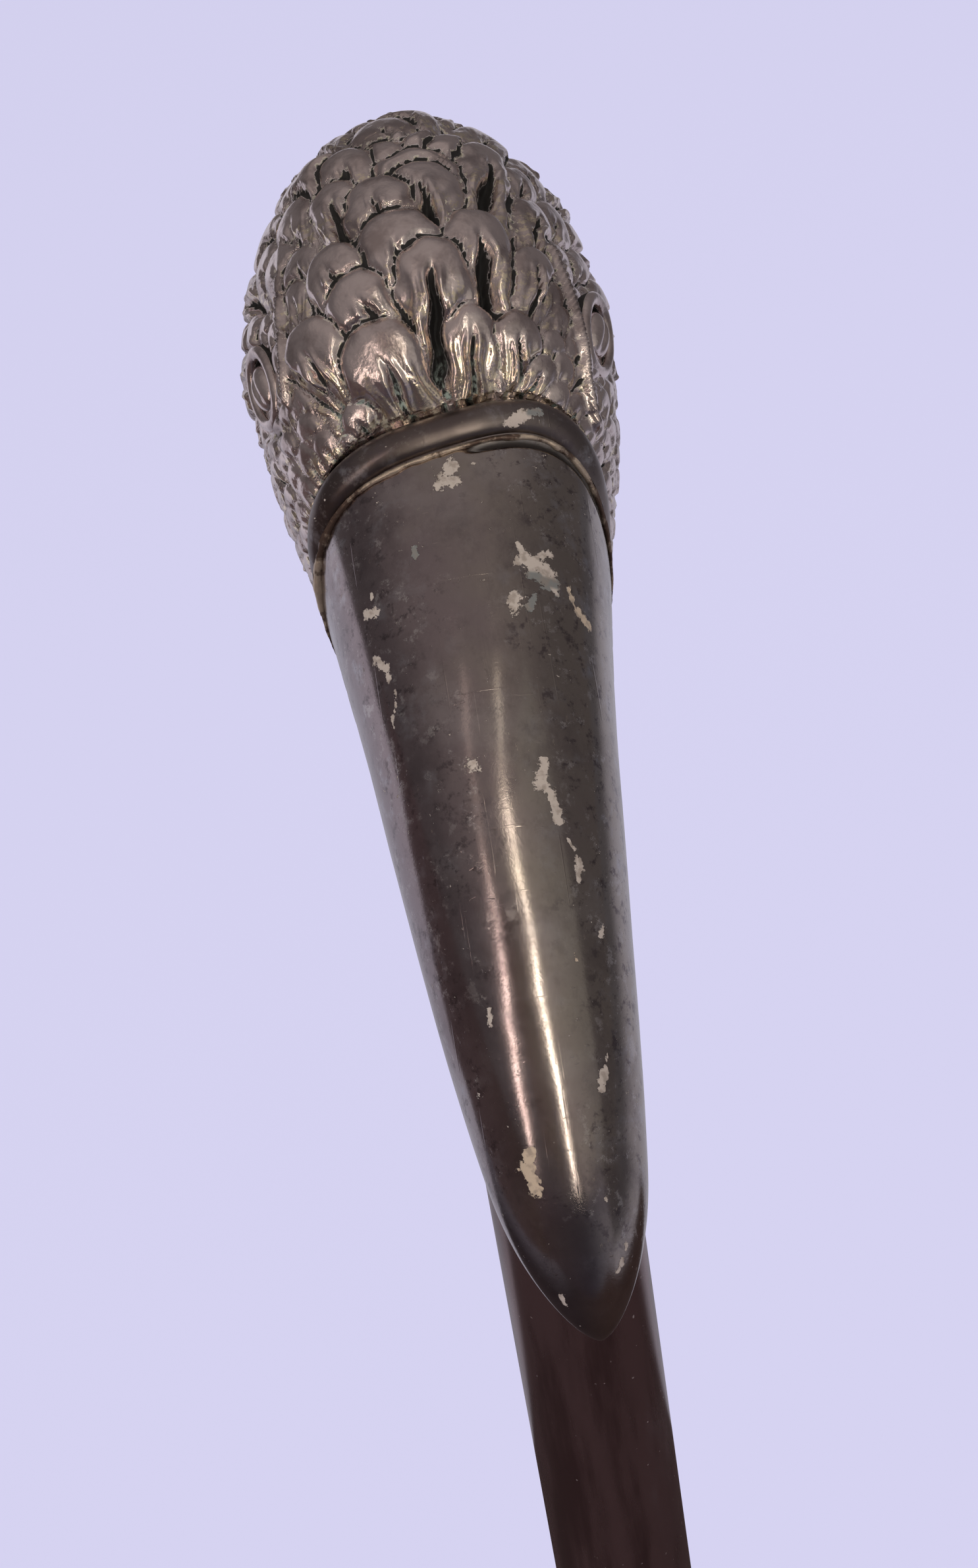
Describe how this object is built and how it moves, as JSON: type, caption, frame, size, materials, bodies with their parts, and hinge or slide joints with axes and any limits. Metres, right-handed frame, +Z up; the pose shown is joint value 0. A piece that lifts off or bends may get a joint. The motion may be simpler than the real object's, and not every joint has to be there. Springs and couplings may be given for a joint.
{
  "type": "walking stick",
  "caption": "Walking stick with a cast bird's-head handle: feathered head, rimmed long down-curved beak, plain plated tube shaft and a flanged rubber foot.",
  "frame": {"origin": "centre of the rubber foot's flat base", "axes": "+Z up along the shaft, the beak points towards -Y, X = 0 is the plane of symmetry"},
  "size_m": [0.0452, 0.137, 0.9145],
  "materials": {
    "rubber": "matt, scuffed",
    "steel": "turned",
    "turned_brass": "turned",
    "plated_shaft": "dark red-brown tarnish over silver plate, semi-gloss",
    "plated_collar": "tarnished silver plate",
    "plated_feathers": "tarnished silver plate, black in the hollows, polished on the crests",
    "plated_beak": "smooth tarnished silver plate, chipped",
    "plated_rim": "tarnished silver plate"
  },
  "bodies": {
    "root": {"rubber_tip": "rubber", "tip_washer": "steel", "shaft_tube": "plated_shaft", "foot_plug": "turned_brass", "shaft_bush": "turned_brass", "joining_stud": "steel", "neck_collar": "plated_collar", "neck_socket": "turned_brass", "feathered_head": "plated_feathers", "beak": "plated_beak", "beak_rim": "plated_rim"}
  },
  "joints": []
}
